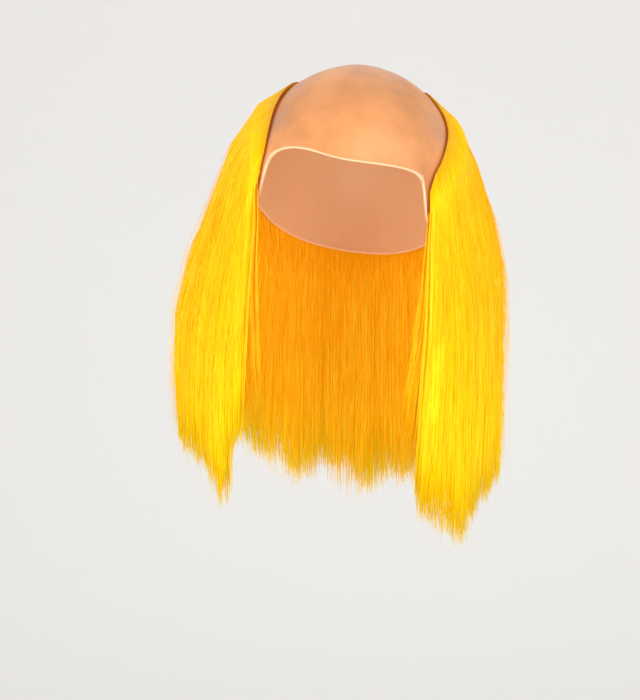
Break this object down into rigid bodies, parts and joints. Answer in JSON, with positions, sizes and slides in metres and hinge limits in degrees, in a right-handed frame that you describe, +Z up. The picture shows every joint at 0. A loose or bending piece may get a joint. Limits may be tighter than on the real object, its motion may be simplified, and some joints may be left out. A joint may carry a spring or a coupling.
{
  "type": "bald-cap clown wig",
  "caption": "Clown wig: a thin skin-coloured latex dome with a rolled forehead edge, and long straight bright yellow hair hanging in pointed locks round its sides and back.",
  "frame": {"origin": "the inside top of the cap, where it sits on the crown of a head", "axes": "+Z up, the face looks along -Y and +X is at the right of the front view; the hair hangs straight down -Z and the cap leans with its crown toward +X, as it is worn in the picture"},
  "size_m": [0.2468, 0.2245, 0.3514],
  "materials": {
    "latex": "satin",
    "seam_thread": "matte",
    "yellow_hair": "satin",
    "orange_hair": "satin"
  },
  "bodies": {
    "root": {"bald_cap": "latex", "weft_seam": "seam_thread", "top_weft_left": "yellow_hair", "top_weft_back": "yellow_hair", "top_weft_right": "yellow_hair", "under_weft_left": "orange_hair", "under_weft_back": "orange_hair", "under_weft_right": "orange_hair"}
  },
  "joints": []
}
